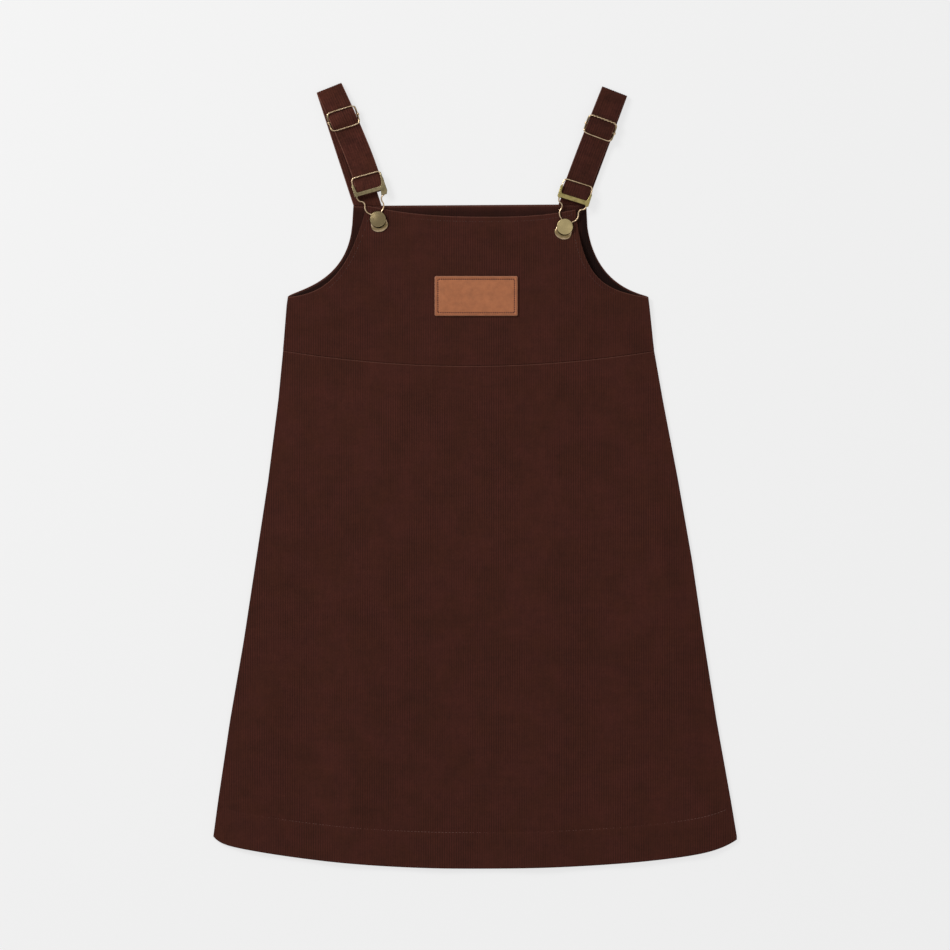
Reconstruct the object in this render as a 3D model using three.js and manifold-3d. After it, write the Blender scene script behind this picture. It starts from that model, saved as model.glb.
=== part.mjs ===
// A child's corduroy pinafore dress laid flat on its back: two bodices, two skirts, two folded straps
// with wire sliders and brace buckles, two shank buttons and a leather patch. Millimetres.
// X runs across the dress, Y from the hem to the straps and Z up from the surface it lies on.
import * as THREE from "three";
import { mergeVertices } from "three/addons/utils/BufferGeometryUtils.js";
import Module from "manifold-3d";

const wasm = await Module();
wasm.setup();

// Driving dimensions
const GAP = 0.3; // clearance between pieces that touch or are sewn together
const CLOTH = 1.2; // thickness of one corduroy panel
const FACING = 1.0; // thickness of the facing inside the back

const BACK_Z = CLOTH / 2; // middle of the back panels, which lie on the surface
const FACING_Z = CLOTH + GAP + FACING / 2;
const FRONT_Z = CLOTH + GAP + FACING + GAP + CLOTH / 2;
const SEAM_Z = CLOTH + GAP + CLOTH / 2; // middle of a front panel where it meets the back at a side seam
const EDGE_REACH = 30; // how far in from a side seam the front climbs to its full height
const FACING_FOOT = 148; // height at which the facing ends

// Side seams of the whole dress, from the underarm to the hem
const SIDE_SEAMS = [
  { y: 168, left: -176.5, right: 163 },
  { y: 118, left: -180.5, right: 168.2 },
  { y: 71, left: -185, right: 176.5 },
  { y: -4, left: -194.5, right: 190.8 },
  { y: -79, left: -205.9, right: 203.9 },
  { y: -154, left: -217.3, right: 215 },
  { y: -229, left: -230.2, right: 226.8 },
  { y: -305, left: -241.5, right: 240.4 },
  { y: -338.7, left: -246, right: 246 },
];

// The hem falls lowest at the middle and climbs to a corner at each side
const HEM = {
  y: -369,
  left: { corner: -246, rise: 24.1, power: 2.2, turnUp: 6.2, turnPower: 40 },
  right: { corner: 246, rise: 18.2, power: 2.26, turnUp: 9.2, turnPower: 14.6 },
};

// The waist seam sags in the middle
const WAIST = { y: 103.4, middle: -5, reach: 172, rise: 13.8 };

// Armholes are cubic curves from the underarm up to the bodice's corner, or to where a straight rise starts.
// "floor" and "wall" are the ends of the curve's handles, along the underarm and down from its top.
const FRONT_ARMHOLES = {
  left: { underarm: [-176.5, 168], floor: [-144.7, 171], wall: [-119.9, 183.6], corner: [-101.8, 254.2] },
  right: { underarm: [163, 168], floor: [118.1, 173.6], wall: [100.1, 188.2], corner: [94.7, 250.4] },
};
const BACK_ARMHOLES = {
  left: {
    underarm: [-176.5, 168],
    floor: [-173.2, 174.7],
    wall: [-118.1, 178.7],
    rise: 239.6,
    corner: [-115.3, 253.9],
  },
  right: { underarm: [163, 168], floor: [162, 171], wall: [113.2, 173.5], rise: 236, corner: [105.3, 255.3] },
};

// The front neckline dips between its two corners; the back neckline is straight
const FRONT_NECK = { y: 243.5, lowAt: 12, power: 2.5 };

// Soft ridges that fan down the front skirt: place at the hem, half width, height, and where each fades out
const SKIRT_RIDGES = [
  { hemX: -203, halfWidth: 30, rise: 0.9, fadeY: 20 },
  { hemX: -122, halfWidth: 44, rise: 1.5, fadeY: 70 },
  { hemX: -34, halfWidth: 36, rise: 1.0, fadeY: -60 },
  { hemX: 61, halfWidth: 48, rise: 1.6, fadeY: 50 },
  { hemX: 150, halfWidth: 34, rise: 1.1, fadeY: -10 },
  { hemX: 214, halfWidth: 24, rise: 0.8, fadeY: 60 },
];

// Where the front armhole edges stand away from the back
const ARMHOLE_LIFTS = [
  { side: "left", low: 172, high: 226, reach: 22, rise: 1.2 },
  { side: "right", low: 170, high: 228, reach: 28, rise: 4.6 },
];

const PATCH = { x: 1, y: 169, width: 78, height: 37.5, thickness: 1.8 };

const STRAP = {
  width: 25.2,
  thickness: 1.6,
  backZ: 0.8, // middle of the layer that comes up from the back
  returnZ: 2.7, // middle of the hidden layer from the buckle back up to the slider
  frontZ: 4.6, // middle of the front layer between the slider and the buckle
  underWireZ: 5.8, // where it dips under a slider's outer bar
  overLoopZ: 8.2, // where it climbs over the slider's middle bar
  underBuckleZ: 4.8, // under the buckle's top wire
  roundBarZ: 6.4, // where it turns round the buckle's bar
};

const SLIDER = { width: 28, height: 18, wire: 1.1, outerZ: 8.1, barZ: 4.5, collar: 1.1, collarLength: 2.6 };

// Half of the buckle's wire, from the middle of its top bar down round the keyhole, from the button's centre
const BUCKLE_WIRE = { diameter: 1.3, frameZ: 6.7, keyholeZ: 5.1, bendHigh: 24, bendLow: 14 };
const BUCKLE_OUTLINE = [
  { across: 0, along: 43.3 },
  { across: 7, along: 43.3 },
  { across: 12.3, along: 42.9 },
  { across: 13.9, along: 40.6 },
  { across: 13.9, along: 33 },
  { across: 13.6, along: 25 },
  { across: 12.3, along: 21.2 },
  { across: 9.2, along: 19.4 },
  { across: 8.2, along: 16.6 },
  { across: 9, along: 12.4 },
  { across: 7.8, along: 8.6 },
  { across: 5.2, along: 6 },
  { across: 4.8, along: 3.6 },
  { across: 6.5, along: 0 },
  { across: 6.95, along: -3.6 },
  { across: 5, along: -8.3 },
  { across: 0, along: -10.4 },
];

// The stamped bar slides on the sides of the wire, and the strap turns round its inner rail
const BUCKLE_BAR = {
  along: 28.2,
  halfWidth: 15.6,
  wall: 0.8,
  lip: { height: 4, z: 8.2 },
  rail: { height: 2.8, z: 4.6, thickness: 1.0 },
  ear: { width: 3.6, low: 24.8, high: 37.5 },
};

const BUTTON = { radius: 7.5, neck: 2.4, foot: 3.6, footZ: 4.3, capZ: 6.2, dome: 2.9 };

// What differs between the two straps: where the strap folds over the shoulder, where it leaves the back,
// the button's centre, the point that bends the front layer's line between the fold and the buckle,
// and how far each metal piece is turned, with the top leaning left as positive
const SIDES = {
  left: {
    fold: [-136.6, 363.65],
    backEnd: [-101.2, 254.3],
    button: [-91.3, 241.1],
    buckleTurn: 15.7,
    pull: [-102.6, 290.9],
    sliderAlong: 31.5,
    sliderTurn: 17.5,
  },
  right: {
    fold: [131, 361],
    backEnd: [91.9, 255.5],
    button: [84.7, 234.6],
    buckleTurn: -17.4,
    pull: [101.4, 283.2],
    sliderAlong: 37,
    sliderTurn: -20.5,
  },
};
const STRAP_TURN_DROP = 1; // the strap turns this far below the middle of the buckle's bar
const STRAP_SQUARE = { from: 18, over: 12 }; // where the strap's width swings round to lie along the bar

const corduroy = { color: 0x3c211a, roughness: 0.95, metalness: 0 };
const strapCorduroy = { color: 0x3e2522, roughness: 0.95, metalness: 0 };
const facingCorduroy = { color: 0x331d1b, roughness: 0.95, metalness: 0 };
const leather = { color: 0xa26746, roughness: 0.6, metalness: 0 };
const brass = { color: 0x8a7c5a, roughness: 0.38, metalness: 1 };

const dress = new THREE.Group();

function place(name, geometry, finish, parent = dress) {
  const mesh = new THREE.Mesh(geometry, new THREE.MeshStandardMaterial(finish));
  mesh.name = name;
  parent.add(mesh);
  return mesh;
}

// Curves and heights

const smooth = (t) => THREE.MathUtils.smoothstep(t, 0, 1);

function tableValue(table, column, y) {
  const below = table.findIndex((row) => row.y <= y);
  if (below < 0) return table.at(-1)[column];
  if (below === 0) return table[0][column];
  const high = table[below - 1];
  const low = table[below];
  return THREE.MathUtils.mapLinear(y, low.y, high.y, low[column], high[column]);
}

const waistY = (x) => WAIST.y + WAIST.rise * ((x - WAIST.middle) / WAIST.reach) ** 2;

function hemY(x) {
  const half = x < 0 ? HEM.left : HEM.right;
  const out = x / half.corner;
  return HEM.y + half.rise * out ** half.power + half.turnUp * out ** half.turnPower;
}

// A side seam's point at the height of the waist seam, moved up or down by a little
function waistPoint(side, offset) {
  const x = tableValue(SIDE_SEAMS, side, WAIST.y + WAIST.rise);
  return new THREE.Vector2(x, waistY(x) + offset);
}

function seamPoint(side, lowY, highY, t) {
  const y = THREE.MathUtils.lerp(lowY, highY, t);
  return new THREE.Vector2(tableValue(SIDE_SEAMS, side, y), y);
}

// A bodice's side edge: the side seam up to the underarm, then the armhole
function bodiceEdge(armhole, side, footY, inset = 0) {
  const inward = side === "left" ? inset : -inset;
  const corner = new THREE.Vector2(...armhole.corner);
  const curveTop = new THREE.Vector2(corner.x, armhole.rise ?? corner.y);
  const handles = [armhole.underarm, armhole.floor, armhole.wall].map(([x, y]) => new THREE.Vector2(x, y));
  const curve = new THREE.CurvePath();
  curve.add(new THREE.CubicBezierCurve(...handles, curveTop));
  if (armhole.rise) curve.add(new THREE.LineCurve(curveTop, corner));
  const seamLength = armhole.underarm[1] - footY;
  const seamShare = seamLength / (seamLength + curve.getLength());
  return (t) => {
    const point =
      t < seamShare
        ? seamPoint(side, footY, armhole.underarm[1], t / seamShare)
        : curve.getPoint((t - seamShare) / (1 - seamShare));
    return point.add(new THREE.Vector2(inward, 0));
  };
}

// Fills a four-sided outline with a grid of points: rows run up it, and each row runs across it
function fillOutline({ bottom, top, left, right }, across, up) {
  const corners = [left(0), right(0), left(1), right(1)];
  return Array.from({ length: up + 1 }, (_, j) =>
    Array.from({ length: across + 1 }, (_, i) => {
      const u = i / across;
      const v = j / up;
      const point = new THREE.Vector2();
      point.addScaledVector(bottom(u), 1 - v).addScaledVector(top(u), v);
      point.addScaledVector(left(v), 1 - u).addScaledVector(right(v), u);
      point.addScaledVector(corners[0], -(1 - u) * (1 - v)).addScaledVector(corners[1], -u * (1 - v));
      point.addScaledVector(corners[2], -(1 - u) * v).addScaledVector(corners[3], -u * v);
      return { x: point.x, y: point.y, u, v };
    }),
  );
}

// A closed wall of cloth on a grid of points: height gives the middle of the wall at a point
function clothWall(grid, height, thickness) {
  const up = grid.length;
  const across = grid[0].length;
  const positions = [];
  for (const half of [thickness / 2, -thickness / 2]) {
    for (const row of grid) {
      for (const point of row) positions.push(point.x, point.y, height(point) + half);
    }
  }
  const at = (layer, j, i) => layer * up * across + j * across + i;
  const index = [];
  const quad = (a, b, c, d) => index.push(a, b, c, a, c, d);
  for (let j = 0; j < up - 1; j++) {
    for (let i = 0; i < across - 1; i++) {
      quad(at(0, j, i), at(0, j, i + 1), at(0, j + 1, i + 1), at(0, j + 1, i));
      quad(at(1, j, i), at(1, j + 1, i), at(1, j + 1, i + 1), at(1, j, i + 1));
    }
  }
  for (let i = 0; i < across - 1; i++) {
    quad(at(1, 0, i), at(1, 0, i + 1), at(0, 0, i + 1), at(0, 0, i));
    quad(at(0, up - 1, i), at(0, up - 1, i + 1), at(1, up - 1, i + 1), at(1, up - 1, i));
  }
  for (let j = 0; j < up - 1; j++) {
    quad(at(0, j, 0), at(0, j + 1, 0), at(1, j + 1, 0), at(1, j, 0));
    quad(at(1, j, across - 1), at(1, j + 1, across - 1), at(0, j + 1, across - 1), at(0, j, across - 1));
  }
  const geometry = new THREE.BufferGeometry();
  geometry.setAttribute("position", new THREE.Float32BufferAttribute(positions, 3));
  geometry.setIndex(index);
  geometry.computeVertexNormals();
  return geometry;
}

// Panels

const lineAcross = (from, to, yOf) => (u) => {
  const x = THREE.MathUtils.lerp(from.x, to.x, u);
  return new THREE.Vector2(x, yOf(x, u));
};

function skirtGrid(across, up) {
  const left = (v) => seamPoint("left", hemY(HEM.left.corner), waistPoint("left", -GAP / 2).y, v);
  const right = (v) => seamPoint("right", hemY(HEM.right.corner), waistPoint("right", -GAP / 2).y, v);
  const bottom = lineAcross(left(0), right(0), hemY);
  const top = lineAcross(left(1), right(1), (x) => waistY(x) - GAP / 2);
  return fillOutline({ bottom, top, left, right }, across, up);
}

function bodiceGrid(armholes, neckY, across, up) {
  const left = bodiceEdge(armholes.left, "left", waistPoint("left", GAP / 2).y);
  const right = bodiceEdge(armholes.right, "right", waistPoint("right", GAP / 2).y);
  const bottom = lineAcross(left(0), right(0), (x) => waistY(x) + GAP / 2);
  const top = lineAcross(left(1), right(1), neckY);
  return fillOutline({ bottom, top, left, right }, across, up);
}

function frontNeckY(x) {
  const { left, right } = FRONT_ARMHOLES;
  const corner = x < FRONT_NECK.lowAt ? left.corner : right.corner;
  const t = Math.abs((x - FRONT_NECK.lowAt) / (corner[0] - FRONT_NECK.lowAt));
  return FRONT_NECK.y + (corner[1] - FRONT_NECK.y) * t ** FRONT_NECK.power;
}

function backNeckY(x) {
  const [left, right] = [BACK_ARMHOLES.left.corner, BACK_ARMHOLES.right.corner];
  return THREE.MathUtils.mapLinear(x, left[0], right[0], left[1], right[1]);
}

// The front lies on the back at its side seams and on the facing above them
function frontHeight({ x, y }) {
  const seamX = tableValue(SIDE_SEAMS, x < 0 ? "left" : "right", y);
  const inward = smooth((Math.abs(seamX) - Math.abs(x)) / EDGE_REACH);
  const overFacing = smooth((y - WAIST.y - WAIST.rise) / (FACING_FOOT - WAIST.y - WAIST.rise));
  const edge = THREE.MathUtils.lerp(SEAM_Z, FRONT_Z, overFacing);
  return THREE.MathUtils.lerp(edge, FRONT_Z, inward);
}

function ridgeHeight({ x, y }) {
  const seamX = tableValue(SIDE_SEAMS, x < 0 ? "left" : "right", y);
  const hemX = (x * Math.abs(HEM.left.corner)) / Math.abs(seamX);
  return SKIRT_RIDGES.reduce((sum, ridge) => {
    const bell = smooth(1 - Math.abs(hemX - ridge.hemX) / ridge.halfWidth);
    const fade = smooth((ridge.fadeY - y) / (ridge.fadeY - HEM.y));
    return sum + ridge.rise * bell * fade;
  }, 0);
}

function armholeLift(point, rowWidth) {
  return ARMHOLE_LIFTS.reduce((sum, lift) => {
    const fromEdge = (lift.side === "left" ? point.u : 1 - point.u) * rowWidth;
    const near = Math.max(0, 1 - fromEdge / lift.reach) ** 2;
    const up = THREE.MathUtils.clamp((point.y - lift.low) / (lift.high - lift.low), 0, 1);
    return sum + lift.rise * near * Math.sin(Math.PI * up) ** 2;
  }, 0);
}

function frontBodice() {
  const grid = bodiceGrid(FRONT_ARMHOLES, frontNeckY, 20, 14);
  const widths = grid.map((row) => row.at(-1).x - row[0].x);
  const rows = grid.length - 1;
  const height = (point) => frontHeight(point) + armholeLift(point, widths[Math.round(point.v * rows)]);
  return clothWall(grid, height, CLOTH);
}

function backFacing() {
  const inset = 1;
  const left = bodiceEdge(BACK_ARMHOLES.left, "left", FACING_FOOT, inset);
  const right = bodiceEdge(BACK_ARMHOLES.right, "right", FACING_FOOT, inset);
  const bottom = lineAcross(left(0), right(0), () => FACING_FOOT);
  const top = lineAcross(left(1), right(1), backNeckY);
  const grid = fillOutline({ bottom, top, left, right }, 10, 8);
  for (const row of grid) {
    for (const point of row) point.y -= inset * point.v;
  }
  return clothWall(grid, () => FACING_Z, FACING);
}

function leatherPatch() {
  const [across, up] = [8, 4];
  const grid = Array.from({ length: up + 1 }, (_, j) =>
    Array.from({ length: across + 1 }, (_, i) => ({
      x: PATCH.x + PATCH.width * (i / across - 0.5),
      y: PATCH.y + PATCH.height * (j / up - 0.5),
    })),
  );
  const lift = CLOTH / 2 + GAP + PATCH.thickness / 2;
  return clothWall(grid, (point) => frontHeight(point) + lift, PATCH.thickness);
}

place("front_skirt", clothWall(skirtGrid(22, 18), (p) => frontHeight(p) + ridgeHeight(p), CLOTH), corduroy);
place("back_skirt", clothWall(skirtGrid(12, 12), () => BACK_Z, CLOTH), corduroy);
place("front_bodice", frontBodice(), corduroy);
place("back_bodice", clothWall(bodiceGrid(BACK_ARMHOLES, backNeckY, 12, 12), () => BACK_Z, CLOTH), corduroy);
place("back_facing", backFacing(), facingCorduroy);
place("leather_patch", leatherPatch(), leather);

// Straps

function unitAt(degrees) {
  return new THREE.Vector2(0, 1).rotateAround(new THREE.Vector2(), degrees * (Math.PI / 180));
}

function buckleLine(side, along) {
  return new THREE.Vector2(...side.button).addScaledVector(unitAt(side.buckleTurn), along);
}

// The strap's middle line in plan, from the shoulder fold to the buckle's bar, extended straight at both ends
function strapLine(side) {
  const curve = new THREE.QuadraticBezierCurve(
    new THREE.Vector2(...side.fold),
    new THREE.Vector2(...side.pull),
    buckleLine(side, BUCKLE_BAR.along - STRAP_TURN_DROP),
  );
  const length = curve.getLength();
  const at = (along) => {
    const t = THREE.MathUtils.clamp(along / length, 0, 1);
    const tangent = curve.getTangentAt(t);
    return { point: curve.getPointAt(t).addScaledVector(tangent, along - t * length), tangent };
  };
  return { at, length };
}

// Height of the front layer along the strap, smooth between the places where the metal holds it
function frontLayerZ(side, length, along) {
  const wire = SLIDER.height / 2;
  const stops = [
    { at: 0, z: STRAP.frontZ },
    { at: side.sliderAlong - wire, z: STRAP.underWireZ },
    { at: side.sliderAlong - 2.4, z: STRAP.overLoopZ },
    { at: side.sliderAlong + 2.4, z: STRAP.overLoopZ },
    { at: side.sliderAlong + wire, z: STRAP.underWireZ },
    { at: side.sliderAlong + wire * 2, z: STRAP.frontZ },
    { at: length - BUCKLE_OUTLINE[0].along + BUCKLE_BAR.along - STRAP_TURN_DROP, z: STRAP.underBuckleZ },
    { at: length, z: STRAP.roundBarZ },
  ];
  const next = stops.findIndex((stop) => stop.at >= along);
  if (next <= 0) return next === 0 ? stops[0].z : stops.at(-1).z;
  const [from, to] = [stops[next - 1], stops[next]];
  return THREE.MathUtils.lerp(from.z, to.z, smooth((along - from.at) / (to.at - from.at)));
}

// Half turn of the strap in its own lengthways plane, from one layer's height to another's
function turn(centreAlong, fromZ, toZ, outward, sweep = Math.PI, steps = 8) {
  const radius = (toZ - fromZ) / 2;
  return Array.from({ length: steps + 1 }, (_, i) => {
    const angle = (sweep * i) / steps;
    const along = centreAlong + outward * Math.abs(radius) * Math.sin(angle);
    return { along, z: fromZ + radius * (1 - Math.cos(angle)) };
  });
}

const steps = (from, to, count) =>
  Array.from({ length: count + 1 }, (_, i) => THREE.MathUtils.lerp(from, to, i / count));

// One strap: up from the back, over the shoulder fold, down through the slider, round the buckle's bar,
// back up under itself and round the slider's middle bar, where its end is sewn
function strap(side) {
  const line = strapLine(side);
  const fold = new THREE.Vector2(...side.fold);
  const backEnd = new THREE.Vector2(...side.backEnd);
  const backWay = backEnd.clone().sub(fold);
  const backLength = backWay.length();
  backWay.normalize();
  const widthAcross = (tangent) => new THREE.Vector2(-tangent.y, tangent.x).multiplyScalar(STRAP.width / 2);
  const frontStart = widthAcross(line.at(0).tangent);

  const sections = steps(backLength, 3, 8).map((along, i) => ({
    point: fold.clone().addScaledVector(backWay, along),
    across: i === 0 ? new THREE.Vector2(-STRAP.width / 2 / backWay.y, 0) : widthAcross(backWay),
    z: STRAP.backZ,
  }));
  const foldRadius = (STRAP.frontZ - STRAP.backZ) / 2;
  turn(foldRadius, STRAP.backZ, STRAP.frontZ, -1).forEach(({ along, z }, i, all) => {
    const share = i / (all.length - 1);
    const heading = backWay.clone().lerp(line.at(0).tangent, share);
    sections.push({
      point: fold.clone().addScaledVector(heading, along),
      across: widthAcross(backWay).lerp(frontStart, share),
      z,
    });
  });
  const barAcross = widthAcross(unitAt(side.buckleTurn).negate());
  const onLine = ({ along, z }) => {
    const { point, tangent } = line.at(along);
    const square = smooth((along - line.length + STRAP_SQUARE.from) / STRAP_SQUARE.over);
    return { point, across: widthAcross(tangent).lerp(barAcross, square), z };
  };
  for (const along of steps(foldRadius + 2, line.length, 34)) {
    sections.push(onLine({ along, z: frontLayerZ(side, line.length, along) }));
  }
  turn(line.length, STRAP.roundBarZ, STRAP.returnZ, 1).slice(1).forEach((stop) => sections.push(onLine(stop)));
  for (const along of steps(line.length - 4, side.sliderAlong + 2, 8)) {
    sections.push(onLine({ along, z: STRAP.returnZ }));
  }
  const loopTop = 2 * SLIDER.barZ - STRAP.returnZ;
  turn(side.sliderAlong, STRAP.returnZ, loopTop, -1, Math.PI * 1.15, 9).forEach((stop) => {
    const across = new THREE.Vector2(1, 0).rotateAround(new THREE.Vector2(), side.sliderTurn * (Math.PI / 180));
    sections.push({ ...onLine(stop), across: across.multiplyScalar(STRAP.width / 2) });
  });
  return ribbon(sections, STRAP.thickness);
}

// A flat band of even thickness through sections that each give a point, a height and half the width across
function ribbon(sections, thickness) {
  const centres = sections.map(({ point, z }) => new THREE.Vector3(point.x, point.y, z));
  const positions = [];
  sections.forEach(({ across }, i) => {
    const ahead = centres[Math.min(i + 1, centres.length - 1)];
    const behind = centres[Math.max(i - 1, 0)];
    const tangent = ahead.clone().sub(behind).normalize();
    const side = new THREE.Vector3(across.x, across.y, 0);
    const normal = tangent.cross(side).normalize().multiplyScalar(thickness / 2);
    for (const [w, n] of [[-1, -1], [1, -1], [1, 1], [-1, 1]]) {
      const corner = centres[i].clone().addScaledVector(side, w).addScaledVector(normal, n);
      positions.push(corner.x, corner.y, corner.z);
    }
  });
  const index = [];
  for (let i = 0; i < sections.length - 1; i++) {
    for (let k = 0; k < 4; k++) {
      const [a, b] = [i * 4 + k, i * 4 + ((k + 1) % 4)];
      index.push(a, b + 4, a + 4, a, b, b + 4);
    }
  }
  const last = (sections.length - 1) * 4;
  index.push(0, 2, 1, 0, 3, 2, last, last + 1, last + 2, last, last + 2, last + 3);
  const geometry = new THREE.BufferGeometry();
  geometry.setAttribute("position", new THREE.Float32BufferAttribute(positions, 3));
  geometry.setIndex(index);
  geometry.computeVertexNormals();
  return geometry;
}

// Metal

function solidOf(geometry) {
  const bare = geometry.clone();
  bare.deleteAttribute("normal");
  bare.deleteAttribute("uv");
  const merged = mergeVertices(bare, 1e-3);
  const triVerts = new Uint32Array(merged.index.array);
  const vertProperties = merged.attributes.position.array;
  return new wasm.Manifold(new wasm.Mesh({ numProp: 3, vertProperties, triVerts }));
}

function joined(...geometries) {
  const mesh = geometries.map(solidOf).reduce((whole, piece) => whole.add(piece)).getMesh();
  const geometry = new THREE.BufferGeometry();
  geometry.setAttribute("position", new THREE.BufferAttribute(mesh.vertProperties, 3));
  geometry.setIndex(new THREE.BufferAttribute(mesh.triVerts, 1));
  geometry.computeVertexNormals();
  return geometry;
}

// A slider's wire is a rounded rectangle whose sides dip to carry the middle bar
function slider() {
  const points = Array.from({ length: 40 }, (_, i) => {
    const angle = (2 * Math.PI * i) / 40;
    const squared = (value) => Math.sign(value) * Math.abs(value) ** 0.36;
    const x = (SLIDER.width / 2) * squared(Math.cos(angle));
    const y = (SLIDER.height / 2) * squared(Math.sin(angle));
    const dip = (SLIDER.outerZ - SLIDER.barZ) * Math.max(0, 1 - ((2 * y) / SLIDER.height) ** 2) ** 4;
    return new THREE.Vector3(x, y, SLIDER.outerZ - dip);
  });
  const loop = new THREE.CatmullRomCurve3(points, true);
  const frame = new THREE.TubeGeometry(loop, 48, SLIDER.wire / 2, 6, true);
  const bar = new THREE.CylinderGeometry(SLIDER.wire / 2, SLIDER.wire / 2, SLIDER.width, 8);
  bar.rotateZ(Math.PI / 2).translate(0, 0, SLIDER.barZ);
  const collars = [-1, 1].map((end) =>
    new THREE.CylinderGeometry(SLIDER.collar, SLIDER.collar, SLIDER.collarLength, 10)
      .translate((end * SLIDER.width) / 2, 0, SLIDER.barZ),
  );
  return joined(frame, bar, ...collars);
}

function buckleWire() {
  const { diameter, frameZ, keyholeZ, bendHigh, bendLow } = BUCKLE_WIRE;
  const half = BUCKLE_OUTLINE.map(({ across, along }) => {
    const z = THREE.MathUtils.lerp(keyholeZ, frameZ, smooth((along - bendLow) / (bendHigh - bendLow)));
    return new THREE.Vector3(across, along, z);
  });
  const mirrored = half.slice(1, -1).reverse().map(({ x, y, z }) => new THREE.Vector3(-x, y, z));
  const loop = new THREE.CatmullRomCurve3([...half, ...mirrored], true);
  return new THREE.TubeGeometry(loop, 84, diameter / 2, 6, true);
}

const boxBetween = (x0, x1, y0, y1, z0, z1) =>
  new THREE.BoxGeometry(x1 - x0, y1 - y0, z1 - z0).translate((x0 + x1) / 2, (y0 + y1) / 2, (z0 + z1) / 2);

function buckleBar() {
  const { along, halfWidth, wall, lip, rail, ear } = BUCKLE_BAR;
  const lipLow = lip.z - wall / 2;
  const lipHigh = lip.z + wall / 2;
  const railLow = rail.z - rail.thickness / 2;
  const railHigh = rail.z + rail.thickness / 2;
  const railFoot = along - rail.height / 2;
  const inside = halfWidth - wall;
  const pieces = [
    boxBetween(-halfWidth, halfWidth, along - lip.height / 2, along + lip.height / 2, lipLow, lipHigh),
    boxBetween(-halfWidth, halfWidth, railFoot, railFoot + rail.height, railLow, railHigh),
  ];
  for (const end of [-1, 1]) {
    const [x0, x1] = [end * inside, end * halfWidth].sort((a, b) => a - b);
    const [e0, e1] = [end * (halfWidth - ear.width), end * halfWidth].sort((a, b) => a - b);
    pieces.push(boxBetween(x0, x1, ear.low, ear.high, railLow, lipHigh));
    pieces.push(boxBetween(e0, e1, ear.low, ear.high, lipLow, lipHigh));
  }
  return joined(...pieces);
}

function button() {
  const { radius, neck, foot, footZ, capZ, dome } = BUTTON;
  const rim = 0.7;
  const profile = [new THREE.Vector2(0, footZ), new THREE.Vector2(foot, footZ)];
  profile.push(new THREE.Vector2(foot, footZ + 0.5), new THREE.Vector2(neck, footZ + 0.9));
  profile.push(new THREE.Vector2(neck, capZ), new THREE.Vector2(radius - rim, capZ));
  profile.push(new THREE.Vector2(radius, capZ + rim), new THREE.Vector2(radius - 0.3, capZ + rim + 0.5));
  for (const share of [0.78, 0.5, 0.22]) {
    profile.push(new THREE.Vector2(radius * share, capZ + dome * Math.cos((share * Math.PI) / 3)));
  }
  profile.push(new THREE.Vector2(0, capZ + dome));
  return new THREE.LatheGeometry(profile, 20).rotateX(Math.PI / 2);
}

for (const [name, side] of Object.entries(SIDES)) {
  place(`strap_${name}`, strap(side), strapCorduroy);

  const sliderGroup = new THREE.Group();
  const sliderAt = strapLine(side).at(side.sliderAlong).point;
  sliderGroup.position.set(sliderAt.x, sliderAt.y, 0);
  sliderGroup.rotation.z = side.sliderTurn * (Math.PI / 180);
  place(`slider_${name}`, slider(), brass, sliderGroup);

  const buckleGroup = new THREE.Group();
  buckleGroup.position.set(...side.button, 0);
  buckleGroup.rotation.z = side.buckleTurn * (Math.PI / 180);
  place(`buckle_wire_${name}`, buckleWire(), brass, buckleGroup);
  place(`buckle_bar_${name}`, buckleBar(), brass, buckleGroup);
  place(`button_${name}`, button(), brass, buckleGroup);
  dress.add(sliderGroup, buckleGroup);
}

export default dress;
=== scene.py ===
import math

import bpy
import numpy as np
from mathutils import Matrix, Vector, kdtree


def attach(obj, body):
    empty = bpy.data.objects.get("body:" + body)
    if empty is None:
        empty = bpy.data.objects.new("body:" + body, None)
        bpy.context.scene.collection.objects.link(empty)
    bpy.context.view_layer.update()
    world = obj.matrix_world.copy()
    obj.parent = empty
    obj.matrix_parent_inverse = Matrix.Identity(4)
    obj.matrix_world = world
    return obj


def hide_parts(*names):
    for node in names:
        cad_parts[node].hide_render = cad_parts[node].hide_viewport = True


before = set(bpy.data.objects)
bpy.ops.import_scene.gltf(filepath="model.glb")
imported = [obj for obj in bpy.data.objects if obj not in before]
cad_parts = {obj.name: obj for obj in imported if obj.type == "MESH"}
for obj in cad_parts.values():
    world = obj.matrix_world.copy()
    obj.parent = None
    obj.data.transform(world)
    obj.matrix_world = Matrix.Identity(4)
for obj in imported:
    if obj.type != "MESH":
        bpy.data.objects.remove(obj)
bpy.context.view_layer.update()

mm = 0.001

# Camera: straight above the dress, a long lens, with the whole length in view
view = {"height": 6.0, "widthSeen": 0.893, "middle": (-0.0001, 0.0009)}


def addCamera():
    data = bpy.data.cameras.new("topCamera")
    data.lens = data.sensor_width * view["height"] / view["widthSeen"]
    data.clip_end = 20
    camera = bpy.data.objects.new("topCamera", data)
    camera.location = (*view["middle"], view["height"])
    bpy.context.collection.objects.link(camera)
    bpy.context.scene.camera = camera


addCamera()
print("camera in place")


# A shader socket that does maths in plain expressions
class Value:
    def __init__(self, finish, socket):
        self.finish = finish
        self.socket = socket

    def maths(self, operation, first, second=0.0):
        return self.finish.make("ShaderNodeMath", {"operation": operation}, {0: first, 1: second})

    def __add__(self, other):
        return self.maths("ADD", self, other)

    def __sub__(self, other):
        return self.maths("SUBTRACT", self, other)

    def __rsub__(self, other):
        return self.maths("SUBTRACT", other, self)

    def __mul__(self, other):
        return self.maths("MULTIPLY", self, other)

    def __truediv__(self, other):
        return self.maths("DIVIDE", self, other)

    def __pow__(self, other):
        return self.maths("POWER", self, other)

    __radd__ = __add__
    __rmul__ = __mul__


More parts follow.
